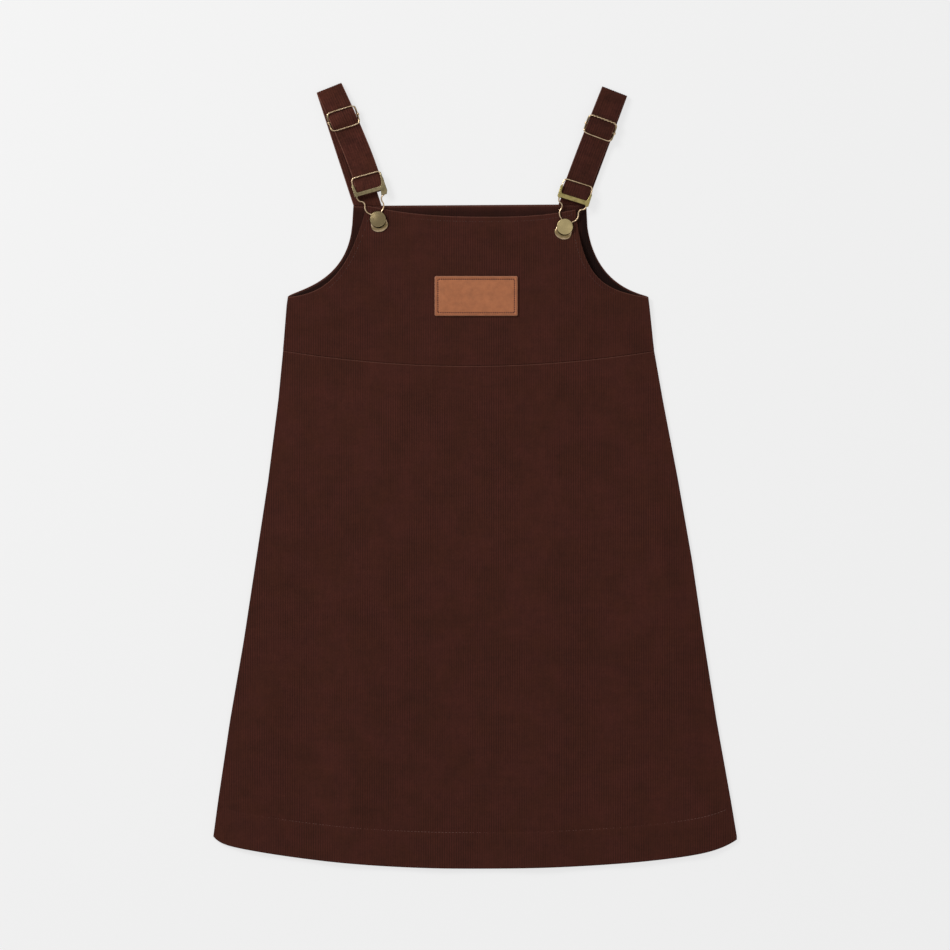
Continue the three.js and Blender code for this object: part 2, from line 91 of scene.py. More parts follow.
# One material and the nodes that make it
class Finish:
    def __init__(self, name):
        self.material = bpy.data.materials.new(name)
        self.material.use_nodes = True
        self.tree = self.material.node_tree
        self.shader = self.tree.nodes["Principled BSDF"]

    def make(self, kind, settings, sockets, out=0):
        node = self.tree.nodes.new(kind)
        for key, value in settings.items():
            setattr(node, key, value)
        for key, value in sockets.items():
            self.feed(node.inputs[key], value)
        return Value(self, node.outputs[out])

    def feed(self, socket, value):
        if isinstance(value, Value):
            self.tree.links.new(value.socket, socket)
        else:
            socket.default_value = value

    def read(self, name):
        return self.make("ShaderNodeAttribute", {"attribute_name": name}, {}, "Fac")

    def place(self):
        return self.make("ShaderNodeTexCoord", {}, {}, "Object")

    def point(self, x, y, z=0.0):
        return self.make("ShaderNodeCombineXYZ", {}, {0: x, 1: y, 2: z})

    def noise(self, where, scale, detail=2.0, rough=0.5):
        sockets = {"Vector": where, "Scale": scale, "Detail": detail, "Roughness": rough}
        return self.make("ShaderNodeTexNoise", {}, sockets, "Fac")

    def blend(self, first, second, factor):
        return self.make("ShaderNodeMix", {"data_type": "RGBA"}, {0: factor, 6: first, 7: second}, 2)

    def dim(self, colour, amount):
        return self.make("ShaderNodeVectorMath", {"operation": "SCALE"}, {0: colour, "Scale": amount})

    # 0 below low, 1 above high, smooth between
    def between(self, value, low, high):
        sockets = {"Value": value, "From Min": low, "From Max": high}
        return self.make("ShaderNodeMapRange", {"interpolation_type": "SMOOTHSTEP"}, sockets)

    def surface(self, **sockets):
        for key, value in sockets.items():
            self.feed(self.shader.inputs[key.replace("_", " ")], value)
        return self.material

    def relief(self, height, strength, distance):
        sockets = {"Height": height, "Strength": strength, "Distance": distance}
        return self.make("ShaderNodeBump", {}, sockets)


def screenColour(red, green, blue):
    # 0 to 255 as seen on a screen, to the linear values that the shader takes
    parts = [c / 255 for c in (red, green, blue)]
    return tuple(c / 12.92 if c <= 0.04045 else ((c + 0.055) / 1.055) ** 2.4 for c in parts) + (1,)


# Fine corduroy: ribs of cut pile, with a nap that lies a little unevenly
corduroyLook = {
    "rib": 2.2 * mm,
    "crown": screenColour(60, 29, 20),
    # darker colour of the grooves between the ribs: painted shade
    "groove": screenColour(40, 18, 12),
    "rosy": screenColour(66, 31, 25),
    # lighter colour of folded edges: worn pile, and a painted highlight where the pile catches the light
    "turned": screenColour(92, 58, 48),
    "mottle": 0.42,
    "clouds": 0.2,
    "brushed": 0.34,
    "streaks": 0.24,
    "tufts": 0.4,
}


def corduroy(name, tone=1.0, turnedEdge=0.55, patchy=1.0, shaded=False):
    look = corduroyLook
    finish = Finish(name)
    across = finish.read("across")
    along = finish.read("along")
    edge = finish.read("edge")
    rib = finish.make("ShaderNodeMath", {"operation": "PINGPONG"}, {0: across / look["rib"], 1: 0.5}) * 2
    cloth = finish.point(across, along)
    mottle = finish.noise(cloth, 56, 4, 0.6)
    clouds = finish.noise(cloth, 9, 2)
    hue = finish.between(finish.noise(finish.point(across, along, 3), 34, 2), 0.35, 0.65)
    brushed = finish.noise(finish.point(across * 3.2, along), 85, 3)
    streaks = finish.noise(finish.point(across * 0.35, along * 1.6, 5), 120, 3)
    tuft = finish.noise(finish.point(across, along * 0.7), 640, 2)
    fibre = finish.noise(finish.point(across, along * 0.4), 2600, 2)
    # the nap lies over the grooves in places and leaves them open in others
    openRibs = finish.between(finish.noise(finish.point(across, along * 0.5, 9), 26, 3), 0.36, 0.62)
    uneven = (mottle - 0.5) * look["mottle"] + (clouds - 0.5) * look["clouds"]
    uneven = uneven + (brushed - 0.5) * look["brushed"] + (streaks - 0.5) * look["streaks"]
    uneven = (uneven + (tuft - 0.5) * look["tufts"]) * patchy + 1
    crown = finish.blend(look["crown"], look["rosy"], hue * 0.6)
    shownRib = (rib ** 0.7) * (openRibs * 0.75 + 0.25) + (1 - openRibs) * 0.55
    # the grooves between the ribs are painted darker than the crowns: painted shade, shown most where the
    # nap leaves them open
    pile = finish.blend(look["groove"], crown, shownRib)
    # folded edges turn lighter: partly real wear of the pile, partly a painted highlight where the pile
    # catches the light
    edgeWearAndHighlight = 1 - finish.between(edge, 0.1 * mm, 1.2 * mm)
    pile = finish.blend(pile, look["turned"], edgeWearAndHighlight * turnedEdge)
    bump = finish.relief(fibre * 0.6 + tuft + mottle * 2, 0.4, 0.25 * mm)
    if shaded:
        # deep in the armholes and just above the front's neckline this cloth lies in the shade of the
        # front: painted shade
        rightArmholeShade = finish.between(across, 95 * mm, 103 * mm) * 0.6
        leftArmholeShade = finish.between(0 - across, 124 * mm, 140 * mm) * 0.4
        neckShade = 1 - finish.between(along, 247 * mm, 255 * mm)
        uneven = uneven * (1 - rightArmholeShade - leftArmholeShade) * (1 - neckShade * 0.5)
    rough = 0.9 + (mottle - 0.5) * 0.15
    finish.surface(Base_Color=finish.dim(pile, uneven * tone), Roughness=rough, Normal=bump)
    return finish.surface(Sheen_Weight=0.08, Sheen_Roughness=0.5, Sheen_Tint=screenColour(150, 92, 76),
                          Specular_IOR_Level=0.1)


leatherLook = {
    "middle": screenColour(148, 89, 55),
    "rim": screenColour(120, 66, 38),
    "cut": screenColour(164, 116, 92),
    "grain": 900,
}


def leather(name):
    look = leatherLook
    finish = Finish(name)
    where = finish.place()
    edge = finish.read("edge")
    cloudy = finish.noise(where, 40, 3)
    pebble = finish.make("ShaderNodeTexVoronoi", {"feature": "DISTANCE_TO_EDGE"},
                         {"Vector": where, "Scale": look["grain"]})
    smudge = finish.noise(where, 150, 4, 0.65)
    pore = finish.noise(where, 2200, 2)
    burnt = 1 - finish.between(edge, 0.1 * mm, 2.6 * mm)
    colour = finish.blend(look["middle"], look["rim"], burnt * 0.75 + (cloudy - 0.5) * 0.5)
    colour = finish.dim(colour, 1 + (pore - 0.5) * 0.2 + (smudge - 0.5) * 0.7)
    colour = finish.blend(colour, look["cut"], 0.6 - finish.between(edge, 0.2 * mm, 0.9 * mm) * 0.6)
    bump = finish.relief(finish.between(pebble, 0, 0.12) + pore * 0.5, 0.28, 0.12 * mm)
    return finish.surface(Base_Color=colour, Roughness=0.6 + (cloudy - 0.5) * 0.2, Normal=bump,
                          Specular_IOR_Level=0.3)


brassLook = {
    "bright": screenColour(218, 192, 158),
    "aged": screenColour(132, 106, 74),
    "recess": screenColour(108, 92, 58),
}


def brass(name, bright=None, aged=None, rough=0.3, patinaShare=0.7):
    finish = Finish(name)
    where = finish.place()
    patina = finish.between(finish.noise(where, 240, 4, 0.6), 0.38, 0.68)
    worn = finish.noise(where, 2400, 2)
    colour = finish.blend(bright or brassLook["bright"], aged or brassLook["aged"], patina * patinaShare)
    colour = finish.blend(colour, brassLook["recess"], finish.read("groove"))
    bump = finish.relief(worn, 0.12, 0.08 * mm)
    return finish.surface(Base_Color=colour, Roughness=rough + patina * 0.16, Metallic=1.0, Normal=bump)


def thread(name, colour):
    finish = Finish(name)
    twist = finish.noise(finish.place(), 3800, 2)
    bump = finish.relief(twist, 0.4, 0.08 * mm)
    return finish.surface(Base_Color=finish.dim(colour[:3], 0.85 + twist * 0.3), Roughness=0.7, Normal=bump)


finishes = {
    "corduroy": corduroy("corduroy"),
    # the two straps are one corduroy in a lit and a shaded copy: painted light on the left strap, painted
    # shade on the right
    "leftStrap": corduroy("leftStrapCorduroy", 1.15, 0.75, 2.2),
    "rightStrap": corduroy("rightStrapCorduroy", 0.92, 0.75, 2.2),
    "facing": corduroy("facingCorduroy", 0.92, shaded=True),
    "leather": leather("leather"),
    "brass": brass("wireBrass"),
    # the two bars are one brass in a lit and a shaded copy: painted shade on the left bar, painted light on
    # the right
    "leftPlate": brass("leftPlateBrass", screenColour(138, 125, 94), screenColour(88, 80, 58), 0.34),
    "rightPlate": brass("rightPlateBrass", screenColour(162, 148, 96), screenColour(112, 102, 62), 0.34),
    # the two buttons are one brass in a lit and a shaded copy: painted shade on the left button, painted
    # light on the right
    "leftButton": brass("leftButtonBrass", screenColour(122, 108, 79), screenColour(106, 93, 68),
                        0.28, 0.4),
    "rightButton": brass("rightButtonBrass", screenColour(172, 155, 112), screenColour(156, 140, 102),
                         0.28, 0.4),
    "hemThread": thread("hemThread", screenColour(84, 50, 41)),
    "edgeThread": thread("edgeThread", screenColour(60, 33, 26)),
    "patchThread": thread("patchThread", screenColour(72, 20, 12)),
}
print("finishes made")


# One mesh in metres, smooth except at edges sharper than sharp degrees, with a number at each point for
# every name in values
def addMesh(name, points, faces, finish, sharp=180, **values):
    mesh = bpy.data.meshes.new(name)
    mesh.from_pydata(np.asarray(points, float).tolist(), [], faces)
    for key, numbers in values.items():
        layer = mesh.attributes.new(key, "FLOAT", "POINT")
        layer.data.foreach_set("value", np.asarray(numbers, np.float32).ravel())
    mesh.materials.append(finishes[finish])
    mesh.shade_smooth()
    if sharp < 180:
        mesh.set_sharp_from_angle(angle=math.radians(sharp))
    print(name, sum(len(face) - 2 for face in faces), "triangles")
    piece = bpy.data.objects.new(name, mesh)
    bpy.context.collection.objects.link(piece)
    return piece


def settle(piece, node):
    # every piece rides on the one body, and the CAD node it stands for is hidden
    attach(piece, "root")
    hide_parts(node)
    return piece


def table(columns, *rows):
    return [dict(zip(columns.split(), row)) for row in rows]


def easeIn(value):
    t = np.clip(value, 0, 1)
    return t * t * (3 - 2 * t)


def unit(ways):
    return ways / np.linalg.norm(ways, axis=-1, keepdims=True)


def numbered(rows, columns, start=0):
    return start + np.arange(rows * columns).reshape(rows, columns)


def wrapped(grid):
    # each row of the grid becomes a closed ring
    return np.hstack([grid, grid[:, :1]])


def gridQuads(grid):
    # one face between each four neighbours in a grid of point numbers
    return np.stack([grid[:-1, :-1], grid[:-1, 1:], grid[1:, 1:], grid[1:, :-1]], -1).reshape(-1, 4)


# Faces of a slab with a grid of points on top, the same grid below it, and a rim between the two
def slabFaces(rows, columns):
    top, below = numbered(rows, columns), rows * columns
    loop = np.concatenate([top[0, :-1], top[:-1, -1], top[-1, :0:-1], top[:0:-1, 0]])
    after = np.roll(loop, -1)
    rim = np.stack([loop, loop + below, after + below, after], 1)
    return np.vstack([gridQuads(top), gridQuads(top + below)[:, ::-1], rim]).tolist()


# Faces between closed rings of count points, one above another
def ringFaces(rings, count, start=0):
    return gridQuads(wrapped(numbered(rings, count, start))).tolist()


def closedRings(rings, count, start=0):
    # the same, with a flat face at each end
    last = start + (rings - 1) * count
    ends = [tuple(range(start, start + count))[::-1], tuple(range(last, last + count))]
    return ringFaces(rings, count, start) + ends


# The dress in plan, in millimetres, on the same lines as the solids
sideSeams = table(
    "y left right",
    (168, -176.5, 163),
    (118, -180.5, 168.2),
    (71, -185, 176.5),
    (-4, -194.5, 190.8),
    (-79, -205.9, 203.9),
    (-154, -217.3, 215),
    (-229, -230.2, 226.8),
    (-305, -241.5, 240.4),
    (-338.7, -246, 246),
)
hem = {
    "y": -369,
    "corner": 246,
    "left": {"rise": 24.1, "power": 2.2, "turnUp": 6.2, "turnPower": 40},
    "right": {"rise": 18.2, "power": 2.26, "turnUp": 9.2, "turnPower": 14.6},
}
waist = {"y": 103.4, "middle": -5, "reach": 172, "rise": 13.8, "halfGap": 0.02, "backAbove": 1.6}
frontArmholes = {
    "left": {"underarm": (-176.5, 168), "floor": (-144.7, 171), "wall": (-119.9, 183.6),
             "corner": (-101.8, 254.2)},
    "right": {"underarm": (163, 168), "floor": (118.1, 173.6), "wall": (100.1, 188.2),
              "corner": (94.7, 250.4)},
}
backArmholes = {
    "left": {"underarm": (-176.5, 168), "floor": (-173.2, 174.7), "wall": (-118.1, 178.7), "rise": 239.6,
             "corner": (-115.3, 253.9)},
    "right": {"underarm": (163, 168), "floor": (162, 171), "wall": (113.2, 173.5), "rise": 236,
              "corner": (105.3, 255.3)},
}
frontNeck = {"y": 243.5, "lowAt": 12, "power": 2.5}
cloth = {"thickness": 1.2, "gap": 0.3, "facing": 1.0, "climb": 30, "facingFoot": 148}
backZ = cloth["thickness"]
seamZ = 2 * cloth["thickness"] + cloth["gap"]
frontZ = 2 * cloth["thickness"] + 2 * cloth["gap"] + cloth["facing"]
facingZ = cloth["thickness"] + cloth["gap"] + cloth["facing"]


def seamX(side, y):
    heights = [row["y"] for row in sideSeams][::-1]
    return np.interp(y, heights, [row[side] for row in sideSeams][::-1])


def seamY(x):
    left = [(row["left"], row["y"]) for row in reversed(sideSeams)]
    right = [(row["right"], row["y"]) for row in sideSeams]
    places, heights = zip(*left, *right)
    return np.interp(x, places, heights)


def waistY(x):
    return waist["y"] + waist["rise"] * ((x - waist["middle"]) / waist["reach"]) ** 2


def hemY(x):
    out = np.clip(np.abs(x) / hem["corner"], 0, 1)
    rises = []
    for half in (hem["left"], hem["right"]):
        rises.append(half["rise"] * out ** half["power"] + half["turnUp"] * out ** half["turnPower"])
    return hem["y"] + np.where(x < 0, *rises)


def armholeCurve(armhole, count=160):
    start, floor, wall = (np.array(armhole[key], float) for key in ("underarm", "floor", "wall"))
    corner = np.array(armhole["corner"], float)
    top = np.array([corner[0], armhole.get("rise", corner[1])])
    t = np.linspace(0, 1, count)[:, None]
    curve = (1 - t) ** 3 * start + 3 * (1 - t) ** 2 * t * floor + 3 * (1 - t) * t ** 2 * wall + t ** 3 * top
    return np.vstack([curve, corner]) if "rise" in armhole else curve


def frontNeckY(x):
    left, right = frontArmholes["left"]["corner"], frontArmholes["right"]["corner"]
    low = frontNeck["lowAt"]
    reach = np.where(x < low, left[0] - low, right[0] - low)
    rise = np.where(x < low, left[1], right[1]) - frontNeck["y"]
    return frontNeck["y"] + rise * np.clip(np.abs((x - low) / reach), 0, 1) ** frontNeck["power"]


def backNeckY(x):
    left, right = backArmholes["left"]["corner"], backArmholes["right"]["corner"]
    return np.interp(x, [left[0], right[0]], [left[1], right[1]])


# Height of the front's upper face: over the back at the side seams, over the facing above them
def frontHeight(x, y):
    out = np.where(x < 0, np.abs(seamX("left", y)), np.abs(seamX("right", y)))
    inward = easeIn((out - np.abs(x)) / cloth["climb"])
    top = waist["y"] + waist["rise"]
    edge = seamZ + (frontZ - seamZ) * easeIn((y - top) / (cloth["facingFoot"] - top))
    return edge + (frontZ - edge) * inward


# Places across a panel: the groove and the crown of each rib, so that every rib is real relief
def ribColumns(low, high):
    rib = corduroyLook["rib"] / mm
    first, last = math.floor(low / rib) - 1, math.ceil(high / rib) + 1
    places = np.arange(first, last, 0.5) * rib
    inside = places[(places > low + 0.1) & (places < high - 0.1)]
    return np.concatenate([[low], inside, [high]])


def ribHeight(across):
    rib = corduroyLook["rib"] / mm
    return np.abs(np.sin(np.pi * across / rib)) ** 0.8


def roundedDrop(edge, radius):
    # 1 at an edge and 0 from radius inwards, as a quarter circle
    return 1 - np.sqrt(1 - np.clip(1 - edge / radius, 0, 1) ** 2)


panelLook = {"ribRelief": 0.34, "edgeRadius": 1.3, "edgeDrop": 0.75}
edgeRows = (0, 0.35, 0.8, 1.4, 2.4, 4.0)  # rows close to an edge, so that it can roll over


def edgeDistance(x, y, sides):
    outline = np.vstack([np.column_stack(side) for side in sides])
    tree = kdtree.KDTree(len(outline))
    for i, (edgeX, edgeY) in enumerate(outline):
        tree.insert((edgeX, edgeY, 0), i)
    tree.balance()
    return np.array([tree.find((px, py, 0))[2] for px, py in zip(x.ravel(), y.ravel())]).reshape(x.shape)


# A thin closed shell between two faces. Its columns stand at the given places across, lowY and highY bound
# them, and faces gives the height of the upper and the lower face at a place
def shell(name, columns, lowY, highY, rows, faces, finish, near=edgeRows, atLow=(), turnedSides=None):
    low = lowY(columns)
    high = np.maximum(highY(columns), low + 0.25)
    atLow, near = np.array([*near, *atLow]), np.array(near)
    share = np.minimum(1, (high - low) / (1.5 * atLow[-1] + 4 * near[-1]))
    inner = np.linspace(0, 1, rows)[1:-1]
    lowRows = low + atLow[:, None] * share
    highRows = high - near[::-1][:, None] * share
    between = lowRows[-1] + (highRows[0] - lowRows[-1]) * inner[:, None]
    y = np.vstack([lowRows, between, highRows])
    x = np.broadcast_to(columns, y.shape)
    outline = {"low": (x[0], y[0]), "left": (x[:, 0], y[:, 0]), "right": (x[:, -1], y[:, -1]),
               "high": (x[-1], y[-1])}
    edge = edgeDistance(x, y, outline.values())
    turnedEdge = edgeDistance(x, y, [outline[side] for side in turnedSides]) if turnedSides else edge
    top, bottom = faces(x, y, edge)
    flat = np.stack([x, y], 2).reshape(-1, 2)
    points = np.vstack([np.column_stack([flat, top.ravel()]), np.column_stack([flat, bottom.ravel()])])
    fields = {"across": x, "along": y, "edge": turnedEdge}
    twice = {key: np.tile(values.ravel() * mm, 2) for key, values in fields.items()}
    return addMesh(name, points * mm, slabFaces(*y.shape), finish, **twice)


# A panel of corduroy, with its ribs on the face that shows: up, or down on the panels that lie face down
def clothPanel(name, xRange, lowY, highY, height, thickness, rows, finish="corduroy", facesUp=True,
               sunk=None, atLow=(), turnedSides=None):
    def faces(x, y, edge):
        look = panelLook
        rounded = roundedDrop(edge, look["edgeRadius"])
        relief = look["ribRelief"] * (ribHeight(x) - 1) * easeIn(edge / 2.5)
        middle = height(x, y)
        if facesUp:
            return middle - look["edgeDrop"] * rounded + relief, middle - thickness
        dent = sunk(x, y) if sunk else 0
        return middle - look["edgeDrop"] * rounded * 0.4, middle - thickness + 0.3 * rounded - relief + dent

    return shell(name, ribColumns(*xRange), lowY, highY, rows, faces, finish, atLow=atLow,
                 turnedSides=turnedSides)


# Soft folds: a ridge of rise mm about (x, y), long one way and narrow the other, turned by angle degrees
def foldHeight(folds, x, y):
    total = np.zeros_like(x)
    for fold in folds:
        angle = math.radians(fold["turn"])
        dx, dy = x - fold["x"], y - fold["y"]
        lengthways = (dx * math.sin(angle) + dy * math.cos(angle)) / fold["long"]
        sideways = dx * math.cos(angle) - dy * math.sin(angle) + fold["bend"] * lengthways ** 2
        total = total + fold["rise"] * np.exp(-(lengthways ** 2) - (sideways / fold["wide"]) ** 2)
    return total


# Ridges that fan down the skirt, as in the solids, and the creases between them
skirtRidges = table(
    "hemX halfWidth rise fadeY",
    (-203, 30, 0.9, 20),
    (-122, 44, 1.5, 70),
    (-34, 36, 1.0, -60),
    (61, 48, 1.6, 50),
    (150, 34, 1.1, -10),
    (214, 24, 0.8, 60),
)
skirtFolds = table(
    "x y long wide turn bend rise",
    (-168, -60, 46, 8, 82, 6, 1.0),
    (-180, -92, 52, 9, 76, -5, 1.1),
    (-164, -122, 60, 8, 84, 8, 0.9),
    (-188, -150, 40, 8, 80, 4, 0.8),
    (-196, -230, 48, 9, 12, 4, 0.7),
    (176, -80, 70, 9, -14, -8, 0.9),
    (172, -130, 42, 8, 38, 5, 0.9),
    (196, -196, 80, 11, -10, 7, 0.8),
    (132, -118, 44, 8, 62, 5, 0.6),
    (-92, 88, 34, 5, 84, 2, 0.5),
    (-40, 90, 14, 5, 4, 0, 0.6),
    (46, 88, 16, 5, -8, 1, 0.8),
    (78, 89, 18, 5, 16, -1, 0.9),
    (104, 90, 14, 5, -24, 1, 0.6),
    (-112, 96, 12, 5, 10, 0, 0.6),
    (12, -250, 60, 12, 5, 6, 0.7),
    (28, -62, 26, 7, 74, 3, 0.5),
    (-88, -20, 90, 12, 6, -8, 0.6),
    (70, 0, 80, 12, -8, 7, 0.6),
    (-150, -318, 40, 6, 82, 3, 0.5),
    (20, -326, 34, 6, 86, -2, 0.5),
)
hemLine = {"up": 34, "lift": 0.45, "dimple": 0.3, "rows": (12, 23, 31.8, 32.8, 33.5, 34, 34.5, 35.2, 36.4)}


def ridgeHeight(x, y):
    out = np.where(x < 0, np.abs(seamX("left", y)), np.abs(seamX("right", y)))
    hemX = x * hem["corner"] / out
    total = np.zeros_like(x)
    for ridge in skirtRidges:
        bell = easeIn(1 - np.abs(hemX - ridge["hemX"]) / ridge["halfWidth"])
        fade = easeIn((ridge["fadeY"] - y) / (ridge["fadeY"] - hem["y"]))
        total = total + ridge["rise"] * bell * fade
    return total


def flatAt(level):
    return lambda x, y: np.full_like(x, level)


# The back's waist seam lies a little above the front's, so that neither shows the floor through the other
def skirtTop(x, above=0.0):
    return np.minimum(waistY(x) + above - waist["halfGap"], seamY(x))


def backSkirtTop(x):
    return skirtTop(x, waist["backAbove"])


def hemLineY(x):
    return hemY(x) + hemLine["up"]


def frontSkirtHeight(x, y):
    fromLine = y - hemLineY(x)
    turnedUp = hemLine["lift"] * (1 - easeIn((fromLine + 2) / 4))
    dimple = hemLine["dimple"] * np.exp(-((fromLine / 1.1) ** 2))
    return frontHeight(x, y) + ridgeHeight(x, y) + foldHeight(skirtFolds, x, y) + turnedUp - dimple


skirtSpan = (-hem["corner"], hem["corner"])
frontSkirt = clothPanel("frontSkirt", skirtSpan, hemY, skirtTop, frontSkirtHeight, cloth["thickness"], 88,
                        atLow=hemLine["rows"], turnedSides=["high"])


def hemDent(x, y):
    return hemLine["dimple"] * np.exp(-(((y - hemLineY(x)) / 1.1) ** 2))


backSkirt = clothPanel("backSkirt", skirtSpan, hemY, backSkirtTop, flatAt(backZ), cloth["thickness"], 10,
                       facesUp=False, sunk=hemDent, atLow=hemLine["rows"], turnedSides=["high"])
settle(frontSkirt, "front_skirt")
settle(backSkirt, "back_skirt")
print("skirt made")


def bodiceTop(armholes, neckY):
    left, right = (armholeCurve(armholes[side]) for side in ("left", "right"))

    def topY(x):
        onLeft = np.interp(x, left[:, 0], left[:, 1])
        onRight = np.interp(x, right[::-1, 0], right[::-1, 1])
        leftCorner, rightCorner = left[-1, 0], right[-1, 0]
        y = np.where(x < leftCorner, onLeft, np.where(x > rightCorner, onRight, neckY(x)))
        beyond = (x < left[0, 0]) | (x > right[0, 0])
        return np.where(beyond, seamY(x), y)

    return topY


def waistEdge(x, above=0.0):
    return waistY(x) + above + waist["halfGap"]


def backWaistEdge(x):
    return waistEdge(x, waist["backAbove"])


bodiceLifts = table(
    "side low high reach rise",
    ("left", 172, 226, 22, 1.4),
    ("right", 170, 236, 28, 5.0),
)
bodiceFolds = table(
    "x y long wide turn bend rise",
    (-132, 150, 34, 7, 70, 4, 0.9),
    (128, 152, 32, 7, -66, -4, 1.0),
    (-64, 222, 26, 8, 58, 3, 0.6),
    (60, 214, 30, 8, -48, -3, 0.6),
    (104, 128, 20, 6, 20, 2, 0.6),
    (-150, 130, 20, 6, -12, 1, 0.6),
    (18, 232, 30, 5, 84, 2, 0.8),
    (60, 226, 34, 5, 96, 2, 0.7),
    (-58, 230, 24, 5, 98, -2, 0.6),
    (-124, 206, 16, 5, -30, 2, 0.6),
    (-112, 224, 18, 5, -24, 2, 0.7),
    (142, 138, 22, 6, -52, 2, 0.8),
    (-20, 116, 46, 6, 88, 1, 0.5),
)


def armholeLift(x, y):
    total = np.zeros_like(x)
    for lift in bodiceLifts:
        curve = armholeCurve(frontArmholes[lift["side"]])
        order = np.argsort(curve[:, 1])
        edgeX = np.interp(y, curve[order, 1], curve[order, 0])
        inward = (x - edgeX) if lift["side"] == "left" else (edgeX - x)
        near = np.clip(1 - np.maximum(inward, 0) / lift["reach"], 0, 1) ** 2
        up = np.clip((y - lift["low"]) / (lift["high"] - lift["low"]), 0, 1)
        total = total + lift["rise"] * near * np.sin(np.pi * up) ** 2
    return total


def frontBodiceHeight(x, y):
    return frontHeight(x, y) + armholeLift(x, y) + foldHeight(bodiceFolds, x, y)


frontTop = bodiceTop(frontArmholes, frontNeckY)
backTop = bodiceTop(backArmholes, backNeckY)
bodiceSpan = (seamX("left", 118), seamX("right", 118))
frontBodice = clothPanel("frontBodice", bodiceSpan, waistEdge, frontTop, frontBodiceHeight,
                         cloth["thickness"], 40, turnedSides=["high"])
backBodice = clothPanel("backBodice", bodiceSpan, backWaistEdge, backTop, flatAt(backZ),
                        cloth["thickness"], 10, facesUp=False, turnedSides=["high"])
settle(frontBodice, "front_bodice")
settle(backBodice, "back_bodice")

facingInset = 1.0
facingSpan = (backArmholes["left"]["underarm"][0] + facingInset,
              backArmholes["right"]["underarm"][0] - facingInset)


def facingTop(x):
    inset = np.where(x < 0, -facingInset, facingInset)
    return backTop(x + inset) - facingInset


def facingFootY(x):
    return np.full_like(x, cloth["facingFoot"])


backFacing = clothPanel("backFacing", facingSpan, facingFootY, facingTop, flatAt(facingZ), cloth["facing"],
                        10, "facing")
settle(backFacing, "back_facing")
print("bodice made")

# A strap's way: up behind, over the shoulder fold, down through the slider, round the buckle's bar, back up
# under itself, and round the slider's middle bar, where its end is sewn
strapLook = {
    "width": 25.2, "loopWidth": 24.4, "thickness": 1.6, "ribRelief": 0.28, "edgeDrop": 0.5,
    "edgeRadius": 1.0, "turnDrop": 1, "squareFrom": 18, "squareOver": 12, "spread": 1.045,
    "backZ": 0.8, "returnZ": 2.7, "frontZ": 4.6, "underWireZ": 5.8, "overLoopZ": 8.2, "underBuckleZ": 4.8,
    "roundBarZ": 6.4, "ribStart": {"left": 600, "right": 1400},
}
sliderLook = {
    "width": 27.5, "height": 18, "wire": 1.1, "outerZ": 8.1, "barZ": 4.5, "barRadius": 0.7,
    "bead": 1.1, "beadLength": 2.6, "beadOut": 0.6,
}
buckleLook = {
    "wire": 1.3, "frameZ": 6.7, "keyholeZ": 5.1, "bendHigh": 24, "bendLow": 14, "barAlong": 28.2,
    "topAlong": 43.3,
}
sides = {
    "left": {"fold": (-137.1, 364.2), "backEnd": (-101.2, 254.3), "pull": (-102.6, 290.9),
             "sliderAlong": 31.5, "sliderTurn": 17.5, "sliderShift": 0.15,
             "button": (-91.3, 241.1), "buckleTurn": 15.7},
    "right": {"fold": (131, 361), "backEnd": (91.9, 255.5), "pull": (99.6, 283.2),
              "sliderAlong": 37, "sliderTurn": -20.5, "sliderShift": 0.25,
              "button": (84.3, 234), "buckleTurn": -17.4},
}


def turned(vector, degrees):
    angle = math.radians(degrees)
    x, y = vector
    return np.array([x * math.cos(angle) - y * math.sin(angle), x * math.sin(angle) + y * math.cos(angle)])


def lengthsAlong(points):
    return np.concatenate([[0], np.cumsum(np.linalg.norm(np.diff(points, axis=0), axis=1))])


def pointsAt(line, lengths, places):
    return np.stack([np.interp(places, lengths, column) for column in line.T], -1)


# The middle line of the front layer in plan, extended straight past both ends
def strapLine(side):
    up = turned((0, 1), side["buckleTurn"])
    fold, pull = np.array(side["fold"]), np.array(side["pull"])
    bar = np.array(side["button"]) + up * (buckleLook["barAlong"] - strapLook["turnDrop"])
    t = np.linspace(0, 1, 200)[:, None]
    points = (1 - t) ** 2 * fold + 2 * (1 - t) * t * pull + t ** 2 * bar
    lengths = lengthsAlong(points)

    def at(along):
        inside = np.clip(along, 0, lengths[-1])
        behind, point, ahead = (pointsAt(points, lengths, inside + step) for step in (-0.5, 0, 0.5))
        tangent = unit(ahead - behind)
        return point + tangent * (along - inside), tangent

    return at, lengths[-1]


def frontLayerZ(side, length, along):
    look = strapLook
    wire = sliderLook["height"] / 2
    middle = side["sliderAlong"]
    topBar = length - buckleLook["topAlong"] + buckleLook["barAlong"] - look["turnDrop"]
    stops = [
        (0, look["frontZ"]), (middle - wire, look["underWireZ"]), (middle - 2.4, look["overLoopZ"]),
        (middle + 2.4, look["overLoopZ"]), (middle + wire, look["underWireZ"]),
        (middle + 2 * wire, look["frontZ"]), (topBar, look["underBuckleZ"]), (length, look["roundBarZ"]),
    ]
    for (fromAt, fromZ), (toAt, toZ) in zip(stops, stops[1:]):
        if along <= toAt:
            return fromZ + (toZ - fromZ) * float(easeIn((along - fromAt) / (toAt - fromAt)))
    return stops[-1][1]


def halfTurn(centre, fromZ, toZ, outward, sweep=math.pi, steps=12):
    radius = (toZ - fromZ) / 2
    turns = [(math.sin(angle), 1 - math.cos(angle)) for angle in np.linspace(0, sweep, steps + 1)]
    return [(centre + outward * abs(radius) * out, fromZ + radius * up) for out, up in turns]


